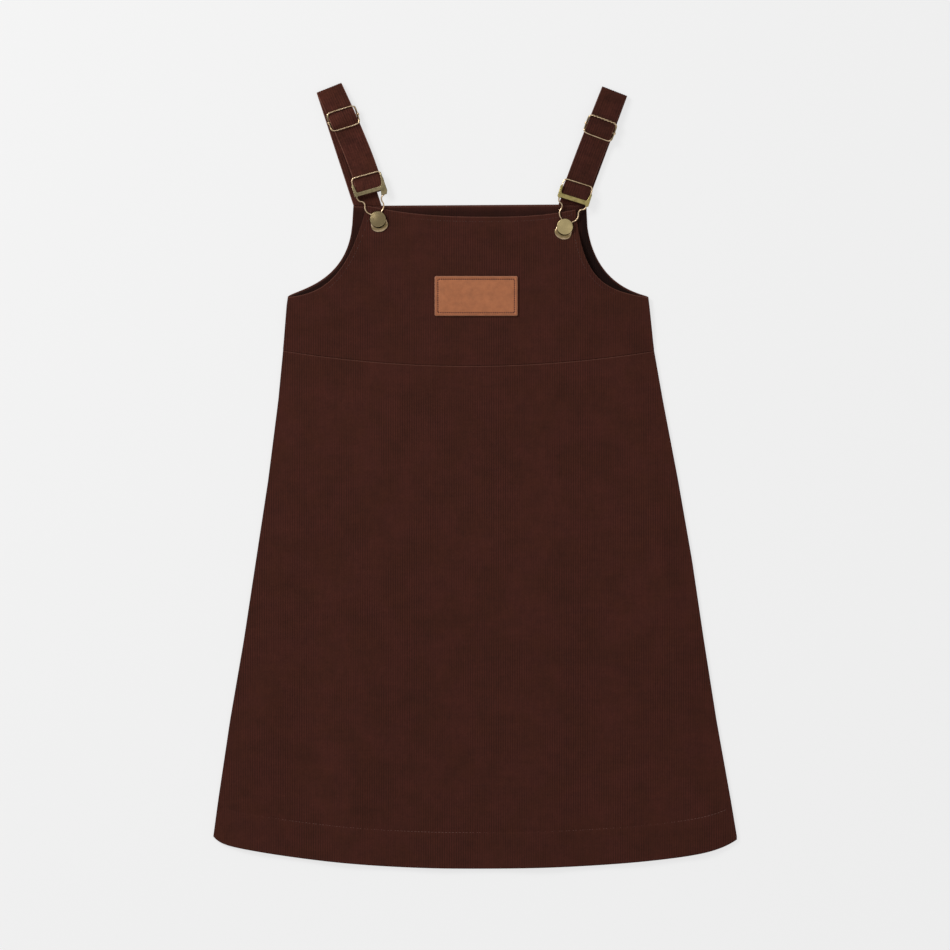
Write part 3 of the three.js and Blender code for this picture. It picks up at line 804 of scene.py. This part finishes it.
def strapSections(side):
    look = strapLook
    at, length = strapLine(side)
    fold, backEnd = np.array(side["fold"]), np.array(side["backEnd"])
    backLength = np.linalg.norm(backEnd - fold)
    backWay = (backEnd - fold) / backLength
    frontWay = at(0)[1]
    widthAcross = lambda tangent: np.array([-tangent[1], tangent[0]]) * look["width"] / 2
    levelAcross = np.array([-look["width"] / 2 / backWay[1], 0])
    sections = []
    for along in np.linspace(backLength + 1, 3, 44):
        slant = max(0, 1 - (backLength - along) / 6)
        across = levelAcross * slant + widthAcross(backWay) * (1 - slant)
        sections.append((fold + backWay * along, across, look["backZ"]))
    foldRadius = (look["frontZ"] - look["backZ"]) / 2
    overFold = halfTurn(foldRadius, look["backZ"], look["frontZ"], -1)
    for i, (along, z) in enumerate(overFold):
        share = i / (len(overFold) - 1)
        heading = backWay * (1 - share) + frontWay * share
        across = widthAcross(backWay) * (1 - share) + widthAcross(frontWay) * share
        sections.append((fold + heading * along, across, z))

    barAcross = widthAcross(-turned((0, 1), side["buckleTurn"]))

    def onLine(along, z):
        point, tangent = at(along)
        square = float(easeIn((along - length + look["squareFrom"]) / look["squareOver"]))
        return point, widthAcross(tangent) * (1 - square) + barAcross * square * look["spread"], z

    sections += [onLine(a, frontLayerZ(side, length, a)) for a in np.linspace(foldRadius + 1.5, length, 96)]
    sections += [onLine(a, z) for a, z in halfTurn(length, look["roundBarZ"], look["returnZ"], 1)[1:]]
    sections += [onLine(a, look["returnZ"]) for a in np.linspace(length - 3, side["sliderAlong"] + 2, 22)]
    loopTop = 2 * sliderLook["barZ"] - look["returnZ"]
    for along, z in halfTurn(side["sliderAlong"], look["returnZ"], loopTop, -1, math.pi * 1.15, 14):
        sections.append((at(along)[0], turned((look["loopWidth"] / 2, 0), side["sliderTurn"]), z))
    return sections


# A band of corduroy with ribs along it on both faces and pressed edges
def corduroyBand(name, sections, start):
    look = strapLook
    half = look["width"] / 2
    centres = np.array([(*point, z) for point, across, z in sections])
    acrosses = np.array([(*across, 0) for point, across, z in sections])
    normals = unit(np.cross(np.gradient(centres, axis=0), acrosses))
    w = ribColumns(-half, half)
    fromEdge = half - np.abs(w)
    relief = look["ribRelief"] * (ribHeight(w) - 1) * easeIn(fromEdge / 1.6)
    rise = look["thickness"] / 2 - look["edgeDrop"] * roundedDrop(fromEdge, look["edgeRadius"]) + relief
    around = np.concatenate([w, w[::-1]])
    out = np.concatenate([rise, -rise[::-1]])
    sideways = acrosses[:, None] * (around / half)[None, :, None]
    points = centres[:, None] + sideways + normals[:, None] * out[None, :, None]
    rows, columns = points.shape[:2]
    band = gridQuads(wrapped(numbered(rows, columns)))[:, ::-1]
    k = np.arange(columns // 2 - 1)
    cap = np.stack([k, k + 1, columns - 2 - k, columns - 1 - k], 1)
    quads = np.vstack([band, cap, cap[:, ::-1] + (rows - 1) * columns])
    along = (lengthsAlong(centres) + start)[:, None] + np.zeros(columns)
    edge = np.tile(np.concatenate([fromEdge, fromEdge[::-1]]), rows)
    piece = addMesh(name, points.reshape(-1, 3) * mm, quads.tolist(), name,
                    across=np.tile(around, rows) * mm, along=along.ravel() * mm, edge=edge * mm)
    return piece, lengthsAlong(centres)[-1]


straps = []
for name, side in sides.items():
    strap, strapLength = corduroyBand(f"{name}Strap", strapSections(side), strapLook["ribStart"][name])
    straps.append((settle(strap, f"strap_{name}"), strapLength))
print("straps made")


# Metal parts are built flat on their own lines, then turned and moved to their place on the strap
def placed(points, centre, degrees):
    x, y = turned((points[:, 0], points[:, 1]), degrees)
    return np.column_stack([x + centre[0], y + centre[1], points[:, 2]])


def evenly(points, spacing):
    ring = np.vstack([points, points[:1]])
    lengths = lengthsAlong(ring)
    count = round(lengths[-1] / spacing)
    return pointsAt(ring, lengths, np.linspace(0, lengths[-1], count, endpoint=False))


# A closed smooth line through points, with the tangents weighed by their distances
def smoothLoop(points, steps=10):
    points = np.asarray(points, float)
    count = len(points)
    line = []
    for k in range(count):
        before, start, end, after = (points[(k + d) % count] for d in (-1, 0, 1, 2))
        gaps = [np.linalg.norm(b - a) ** 0.5 for a, b in ((before, start), (start, end), (end, after))]
        leave = (start - before) / gaps[0] - (end - before) / (gaps[0] + gaps[1]) + (end - start) / gaps[1]
        reach = (end - start) / gaps[1] - (after - start) / (gaps[1] + gaps[2]) + (after - end) / gaps[2]
        for t in np.arange(steps) / steps:
            line.append((2 * t ** 3 - 3 * t ** 2 + 1) * start + (t ** 3 - 2 * t ** 2 + t) * leave * gaps[1]
                        + (3 * t ** 2 - 2 * t ** 3) * end + (t ** 3 - t ** 2) * reach * gaps[1])
    return np.array(line)


# Round wire along a closed line; wide and tall scale its section, twisted says how far it is roped
def wireRing(line, radius, wide, tall, twisted, sidesRound=12, pitch=3.4):
    count = len(line)
    tangent = unit(np.roll(line, -1, 0) - np.roll(line, 1, 0))
    sideways = unit(np.cross(tangent, (0, 0, 1)))
    up = np.cross(sideways, tangent)
    angle = np.linspace(0, 2 * math.pi, sidesRound, endpoint=False)
    along = np.arange(count) * np.linalg.norm(line[1] - line[0])
    strand = np.cos(2 * angle[None, :] - 2 * math.pi * along[:, None] / pitch)
    thick = radius * (1 + twisted[:, None] * (0.22 * strand + 0.1))
    x = thick * np.cos(angle) * wide[:, None]
    z = thick * np.sin(angle) * tall[:, None]
    points = line[:, None] + sideways[:, None] * x[:, :, None] + up[:, None] * z[:, :, None]
    quads = gridQuads(wrapped(wrapped(numbered(count, sidesRound)).T))
    groove = twisted[:, None] * np.clip(-strand, 0, 1)
    return points.reshape(-1, 3), quads, groove.ravel()


# A solid turned about an upright axis from a profile of (radius, height) that starts and ends on the axis
def turnedSolid(profile, steps):
    angle = np.linspace(0, 2 * math.pi, steps, endpoint=False)
    ring = np.column_stack([np.cos(angle), np.sin(angle), np.zeros(steps)])
    points = [ring * radius + (0, 0, height) for radius, height in profile[1:-1]]
    points += [[(0, 0, height)] for radius, height in (profile[0], profile[-1])]
    faces = ringFaces(len(profile) - 2, steps)
    last, foot = (len(profile) - 3) * steps, (len(profile) - 2) * steps
    for i in range(steps):
        after = (i + 1) % steps
        faces += [(foot, after, i), (last + i, last + after, foot + 1)]
    return np.vstack(points), faces


# A plate cut to an outline, with rounded edges between its low and high faces
def plate(outline, low, high, bevel, steps=4):
    outline = np.asarray(outline, float)
    ahead, behind = np.roll(outline, -1, 0) - outline, outline - np.roll(outline, 1, 0)
    first, second = (unit(np.column_stack([way[:, 1], -way[:, 0]])) for way in (behind, ahead))
    miter = (first + second) / (1 + (first * second).sum(1))[:, None]
    angle = np.linspace(0, math.pi / 2, steps)
    rings = [(bevel + 0.12, low)]
    rings += [(bevel * (1 - math.sin(a)), low + bevel * (1 - math.cos(a))) for a in angle]
    rings += [(bevel * (1 - math.cos(a)), high - bevel * (1 - math.sin(a))) for a in angle]
    rings.append((bevel + 0.12, high))
    count = len(outline)
    points = [np.column_stack([outline - miter * inset, np.full(count, z)]) for inset, z in rings]
    return np.vstack(points), closedRings(len(rings), count)


# One mesh from several parts, each with its points and faces and, on roped wire, how deep its grooves are
def addParts(name, parts, finish, centre=(0, 0), degrees=0, sharp=40):
    points, faces, grooves, count = [], [], [], 0
    for part in parts:
        points.append(placed(part[0], centre, degrees))
        faces += [tuple(int(corner) + count for corner in face) for face in part[1]]
        grooves.append(part[2] if len(part) > 2 else np.zeros(len(part[0])))
        count += len(part[0])
    return addMesh(name, np.vstack(points) * mm, faces, finish, sharp, groove=np.concatenate(grooves))


# Sliders: a wire frame over the strap, twisted along one or both outer bars, with a bead at each end of
# the middle bar that the strap is sewn round
sliderTwists = {
    "left": {"top": 0.55, "bottom": 0.6, "thicker": 1.0},
    "right": {"top": 1.0, "bottom": 0.0, "thicker": 1.35},
}


def sliderParts(side):
    look = sliderLook
    twists = sliderTwists[side]
    angle = np.linspace(0, 2 * math.pi, 720, endpoint=False)
    squared = lambda value: np.sign(value) * np.abs(value) ** 0.3
    x, y = look["width"] / 2 * squared(np.cos(angle)), look["height"] / 2 * squared(np.sin(angle))
    line = evenly(np.column_stack([x, y, np.zeros_like(x)]), 0.45)
    share = 2 * line[:, 1] / look["height"]
    line[:, 2] = look["outerZ"] - (look["outerZ"] - look["barZ"]) * np.clip(1 - share ** 2, 0, 1) ** 4
    onBar = easeIn((look["width"] / 2 - 1.5 - np.abs(line[:, 0])) / 1.5)
    twisted = np.where(share > 0.8, twists["top"], np.where(share < -0.8, twists["bottom"], 0)) * onBar
    thicker = np.where(share > 0.8, 1 + (twists["thicker"] - 1) * onBar, 1)
    atSide = easeIn((np.abs(line[:, 0]) - look["width"] / 2 + 1.6) / 1.2)
    points, faces, groove = wireRing(line, look["wire"] / 2, thicker * (1 + 0.6 * atSide), thicker, twisted)
    loop = points, faces, np.maximum(groove, np.repeat(atSide, len(points) // len(line)) * 0.55)
    half, thin = look["width"] / 2, look["barRadius"]
    bar, barFaces = turnedSolid([(0, -half), (thin, -half), (thin, half), (0, half)], 14)
    parts = [loop, (bar[:, [2, 1, 0]] * (1, -1, 1) + (0, 0, look["barZ"]), barFaces)]
    upper = [(1, 0.4), (0.86, 0.8), (0.5, 0.98), (0, 1)]
    bead, beadFaces = turnedSolid([(radius, -z) for radius, z in upper[::-1]] + upper, 20)
    size = np.array([look["bead"], look["beadLength"] / 2, look["bead"]])
    for end in (-1, 1):
        middle = (end * (half + look["beadOut"]), 0, look["barZ"])
        parts.append((bead[:, [0, 2, 1]] * (1, 1, -1) * size + middle, beadFaces))
    return parts


# Brace buckles: half of the wire's outline from the middle of the top bar down round the keyhole, given
# across and along from the button, and the stamped bar that slides on the wire
buckleOutline = [
    (0, 43.3), (7, 43.3), (12.3, 42.9), (13.9, 40.6), (13.9, 33), (13.6, 25), (12.3, 21.2), (9.2, 19.4),
    (8.2, 16.6), (9, 12.4), (7.8, 8.6), (5.2, 6), (4.8, 3.6), (6.5, 0), (6.8, -3.6), (4.9, -8), (0, -9.9),
]


def buckleWireParts():
    look = buckleLook
    half = np.array([(x, y, 0) for x, y in buckleOutline], float)
    mirrored = half[1:-1][::-1] * (-1, 1, 1)
    line = evenly(smoothLoop(np.vstack([half, mirrored])), 0.5)
    lift = easeIn((line[:, 1] - look["bendLow"]) / (look["bendHigh"] - look["bendLow"]))
    line[:, 2] = look["keyholeZ"] + (look["frameZ"] - look["keyholeZ"]) * lift
    pressed = easeIn((-2 - line[:, 1]) / 5)
    onTop = easeIn(line[:, 1] - 42)
    wide, tall = 1 + pressed * 2.3, 1 - pressed * 0.1
    points, faces, groove = wireRing(line, look["wire"] / 2, wide, tall, onTop * 0.4)
    outward = np.hypot(points[:, 0], points[:, 1])
    inner = np.repeat(pressed, len(points) // len(line)) * np.clip((11.3 - outward) / 0.8, 0, 1) * 0.85
    return [(points, faces, np.maximum(groove, inner))]


# The bar in plan: a lip across the strap between two ears that wrap the wire
barOutlines = {
    "left": [
        (-13.4, 23.6), (-12.2, 25.6), (10, 25.6), (9.2, 20.8), (14.5, 20.4), (15.9, 23.8), (15.4, 32),
        (14.6, 42), (13.6, 42), (12.6, 34), (11.6, 30), (10, 29.2), (-11.6, 29.2), (-12.6, 30.4),
        (-13.2, 37), (-15.2, 37.2), (-15.1, 27),
    ],
    "right": [
        (-13, 23.6), (-11.8, 25.1), (11.8, 25.1), (13.2, 23.4), (15.4, 24.4), (15.5, 36), (13.6, 36),
        (12.6, 30.6), (11.4, 29.2), (-11.8, 29.2), (-12.8, 30.4), (-13.2, 36.4), (-15, 36.4), (-15.3, 25.4),
    ],
}


# Under the lip, a rail for the strap to turn round and a wall at each end, as boxes in plan with low, high
# and bevel
barLook = {
    "lip": {"low": 7.7, "high": 8.6, "bevel": 0.4},
    "rail": {"x": (-15, 15), "y": (26.8, 29.6), "low": 4.1, "high": 5.1, "bevel": 0.35},
    "leftWall": {"x": (-15.4, -14.5), "y": (25.6, 36.4), "low": 4.1, "high": 8.0, "bevel": 0.3},
    "rightWall": {"x": (14.5, 15.4), "y": (25.6, 36.4), "low": 4.1, "high": 8.0, "bevel": 0.3},
}


def roundedBox(x, y, low, high, bevel):
    corners = [(x[0], y[0]), (x[1], y[0]), (x[1], y[1]), (x[0], y[1])]
    return plate(corners, low, high, bevel)


def buckleBarParts(side):
    boxes = [roundedBox(**barLook[part]) for part in ("rail", "leftWall", "rightWall")]
    return [plate(barOutlines[side], **barLook["lip"]), *boxes]


# Buttons: a shallow dome with a fine rim on a short shank, hung a little out of level
buttonLook = {"radius": 7.6, "neck": 2.4, "foot": 3.6, "footZ": 4.3, "capZ": 6.4, "dome": 1.9,
              "tilt": {"left": (3, -3), "right": (-2, 4)}}


def buttonParts(side):
    look = buttonLook
    radius, capZ = look["radius"], look["capZ"]
    profile = [(0, look["footZ"]), (look["foot"], look["footZ"]), (look["foot"], look["footZ"] + 0.5),
               (look["neck"], look["footZ"] + 0.9), (look["neck"], capZ)]
    rim = [(-0.8, 0), (-0.25, 0.2), (0, 0.65), (-0.12, 1.1), (-0.45, 1.32), (-0.8, 1.28), (-1.05, 1.3)]
    profile += [(radius + out, capZ + up) for out, up in rim]
    for share in (0.8, 0.7, 0.6, 0.5, 0.4, 0.3, 0.2, 0.1):
        rise = (look["dome"] - 1.3) * math.cos(share * math.pi / 1.72)
        profile.append((radius * share, capZ + 1.3 + rise))
    profile.append((0, capZ + look["dome"]))
    points, faces = turnedSolid(profile, 56)
    tiltX, tiltY = (math.tan(math.radians(t)) for t in look["tilt"][side])
    cap = easeIn(points[:, 2] - look["footZ"] - 1)
    points[:, 2] += cap * (points[:, 0] * tiltX + points[:, 1] * tiltY)
    return [(points, faces)]


for name, side in sides.items():
    at = strapLine(side)[0]
    shift = turned((side["sliderShift"], 0), side["sliderTurn"])
    sliderPlace = at(side["sliderAlong"])[0] + shift, side["sliderTurn"]
    bucklePlace = side["button"], side["buckleTurn"]
    slider = addParts(f"{name}Slider", sliderParts(name), "brass", *sliderPlace)
    wire = addParts(f"{name}BuckleWire", buckleWireParts(), "brass", *bucklePlace)
    bar = addParts(f"{name}BuckleBar", buckleBarParts(name), f"{name}Plate", *bucklePlace)
    button = addParts(f"{name}Button", buttonParts(name), f"{name}Button", *bucklePlace)
    settle(slider, f"slider_{name}")
    settle(wire, f"buckle_wire_{name}")
    settle(bar, f"buckle_bar_{name}")
    settle(button, f"button_{name}")
print("metal made")

# Leather patch: thick hide with burnished edges, pulled down along its border stitching
patchLook = {
    "middle": (1, 169), "size": (78, 37.5), "corner": 1.6, "thickness": 1.8, "sunk": 0.15, "rolled": 0.7,
    "stitchIn": 3.0, "groove": 0.35, "puff": 0.25,
}
patchZ = frontZ + cloth["gap"]


def patchShell():
    look = patchLook
    (x0, y0), (width, height) = look["middle"], look["size"]
    near = np.array([0, 0.15, 0.4, 0.8, 1.3, 1.9])
    inner = np.linspace(-width / 2 + 2.4, width / 2 - 2.4, 92)
    columns = np.concatenate([-width / 2 + near, inner, (width / 2 - near)[::-1]]) + x0

    def halfHeight(x):
        return height / 2 - look["corner"] * roundedDrop(width / 2 - np.abs(x - x0), look["corner"])

    def faces(x, y, edge):
        groove = look["groove"] * np.exp(-(((edge - look["stitchIn"]) / 0.55) ** 2))
        puff = look["puff"] * np.exp(-(((edge - 1.5) / 0.8) ** 2)) + 0.15 * easeIn((edge - 4) / 8)
        top = look["thickness"] - look["sunk"] - look["rolled"] * roundedDrop(edge, 0.8) - groove + puff
        return patchZ + top, np.full_like(x, patchZ)

    return shell("leatherPatch", columns, lambda x: y0 - halfHeight(x), lambda x: y0 + halfHeight(x), 44,
                 faces, "leather", near=near)


settle(patchShell(), "leather_patch")


# A row of stitches along a line in plan: each a small rounded length of thread laid on the surface
def stitchRow(line, height, length, gap, width, thick, sunk):
    line = np.asarray(line, float)
    lengths = lengthsAlong(line)
    count = int(lengths[-1] // (length + gap))
    starts = (np.arange(count) + 0.5) * lengths[-1] / count
    heads, tails = (pointsAt(line, lengths, starts + half) for half in (-length / 2, length / 2))
    ways = unit(tails - heads)
    centres = (heads + tails) / 2
    rings = [(-1, 0.25), (-0.8, 0.75), (0, 1), (0.8, 0.75), (1, 0.25)]
    angles = np.linspace(0, 2 * math.pi, 6, endpoint=False)
    points, faces = [], []
    for k, (centre, way, z) in enumerate(zip(centres, ways, height(*centres.T))):
        across = np.array([-way[1], way[0]])
        # the nap swallows the stitches in some stretches and lets them show in others
        z -= sunk * (0.5 + 0.5 * math.sin(k * 0.11 + 1.3) * math.cos(k * 0.043))
        faces += closedRings(len(rings), len(angles), len(points))
        for place, size in rings:
            for angle in angles:
                spot = centre + way * place * length / 2 + across * math.cos(angle) * size * width / 2
                points.append((*spot, z + math.sin(angle) * size * thick / 2 - 0.25 * thick * place ** 2))
    return np.array(points), faces


def insetLine(line, distance):
    # moves a line sideways, to its left as it is walked
    line = np.asarray(line, float)
    way = unit(np.gradient(line, axis=0))
    return line + np.column_stack([-way[:, 1], way[:, 0]]) * distance


def roundedBorder(middle, size, corner, inset):
    (x0, y0), (width, height) = middle, size
    width, height, corner = width - 2 * inset, height - 2 * inset, max(corner - inset, 0.6)
    line = []
    for quarter in range(5):
        cornerX = (width / 2 - corner) * (1 if quarter % 4 in (0, 3) else -1)
        cornerY = (height / 2 - corner) * (1 if quarter % 4 in (0, 1) else -1)
        for angle in np.radians(quarter * 90 + np.linspace(0, 90, 5)) if quarter < 4 else [0]:
            line.append((x0 + cornerX + corner * math.cos(angle), y0 + cornerY + corner * math.sin(angle)))
    return np.array(line)


stitchLook = {
    "hem": {"length": 2.4, "gap": 0.8, "width": 0.5, "thick": 0.36, "sunk": 0.5},
    "backHem": {"length": 2.4, "gap": 0.8, "width": 0.5, "thick": 0.36, "sunk": 0},
    "edge": {"length": 2.2, "gap": 0.8, "width": 0.45, "thick": 0.34, "sunk": 0.34},
    "patch": {"length": 1.5, "gap": 0.55, "width": 1.1, "thick": 0.8, "sunk": 0},
}


def addStitches(name, lines, height, look, finish, node):
    parts = [stitchRow(line, height, **stitchLook[look]) for line in lines]
    return settle(addParts(name, parts, finish, sharp=180), node)


hemX = np.linspace(-236, 236, 300)
hemPath = np.column_stack([hemX, hemLineY(hemX)])
hemStitches = addStitches("hemStitches", [hemPath], lambda x, y: frontSkirtHeight(x, y) - 0.04, "hem",
                          "hemThread", "front_skirt")
backHemStitches = addStitches("backHemStitches", [hemPath], flatAt(0.2), "backHem",
                              "hemThread", "back_skirt")

edgeInset = 4.6
leftEdge = insetLine(armholeCurve(frontArmholes["left"])[2:], -edgeInset)
rightEdge = insetLine(armholeCurve(frontArmholes["right"])[2:], edgeInset)
neckX = np.linspace(frontArmholes["left"]["corner"][0] + 5, frontArmholes["right"]["corner"][0] - 5, 120)
neckEdge = np.column_stack([neckX, frontNeckY(neckX) - edgeInset])
edgeStitches = addStitches("edgeStitches", [leftEdge, rightEdge, neckEdge],
                           lambda x, y: frontBodiceHeight(x, y) - 0.1, "edge", "edgeThread", "front_bodice")

border = roundedBorder(patchLook["middle"], patchLook["size"], patchLook["corner"], patchLook["stitchIn"])
patchTop = patchZ + patchLook["thickness"] - patchLook["sunk"] - patchLook["groove"] + 0.3
addStitches("patchStitches", [border], flatAt(patchTop), "patch", "patchThread", "leather_patch")
print("patch and stitching made")


# The cut of each piece of cloth that shows, in metres, measured from its own outline
def declareSheet(piece, lowY, highY, span):
    x = np.linspace(*span, 400)
    low, high = lowY(x), highY(x)
    width, length = (span[1] - span[0]) * mm, (high.max() - low.min()) * mm
    area = float(np.trapz(np.maximum(high - low, 0), x)) * mm * mm
    print(f"{piece.name}: {width:.3f} by {length:.3f} m, {area:.4f} square metres")


declareSheet(backSkirt, hemY, backSkirtTop, skirtSpan)
declareSheet(backBodice, backWaistEdge, backTop, bodiceSpan)
declareSheet(backFacing, facingFootY, facingTop, facingSpan)
declareSheet(frontSkirt, hemY, skirtTop, skirtSpan)
declareSheet(frontBodice, waistEdge, frontTop, bodiceSpan)
for strap, length in straps:
    length * mm
    print(f"{strap.name}: {length:.1f} mm long")

# Pale floor and soft studio light
studio = {
    "floor": (0.15, 0.15, 0.15, 1), "floorGlow": 0.7, "floorZ": -0.0003, "sky": 0.8, "horizon": 0.35,
    "key": {"place": (-1.7, 1.5, 1.9), "size": 1.0, "power": 62},
    "fill": {"place": (1.4, -0.8, 2.6), "size": 1.8, "power": 6},
}


def addFloor():
    side = 12.0
    points = [(x * side, y * side, studio["floorZ"]) for x, y in ((-1, -1), (1, -1), (1, 1), (-1, 1))]
    finish = Finish("floorPaint")
    finishes["floor"] = finish.surface(Base_Color=studio["floor"], Roughness=0.9, Specular_IOR_Level=0.1,
                                       Emission_Color=(1, 1, 1, 1), Emission_Strength=studio["floorGlow"])
    floor = addMesh("floor", points, [(0, 1, 2, 3)], "floor")


# A square lamp that faces the middle of the dress
def addLight(name, place, size, power):
    data = bpy.data.lights.new(name, "AREA")
    data.size = size
    data.energy = power
    lamp = bpy.data.objects.new(name, data)
    lamp.location = place
    lamp.rotation_euler = (-Vector(place)).to_track_quat("-Z", "Y").to_euler()
    bpy.context.collection.objects.link(lamp)


# Bright overhead and dimmer towards the horizon, so that metal has something to reflect
def addSky():
    world = bpy.data.worlds.new("studio")
    world.use_nodes = True
    nodes, links = world.node_tree.nodes, world.node_tree.links
    where = nodes.new("ShaderNodeTexCoord")
    parts = nodes.new("ShaderNodeSeparateXYZ")
    ramp = nodes.new("ShaderNodeValToRGB")
    ramp.color_ramp.elements[0].color = (studio["horizon"],) * 3 + (1,)
    ramp.color_ramp.elements[1].color = (1, 1, 1, 1)
    links.new(where.outputs["Generated"], parts.inputs[0])
    links.new(parts.outputs["Z"], ramp.inputs["Fac"])
    links.new(ramp.outputs["Color"], nodes["Background"].inputs["Color"])
    nodes["Background"].inputs["Strength"].default_value = studio["sky"]
    bpy.context.scene.world = world


addFloor()
addLight("keyLight", **studio["key"])
addLight("fillLight", **studio["fill"])
addSky()
bpy.context.scene.view_settings.view_transform = "Standard"
print("studio lit")
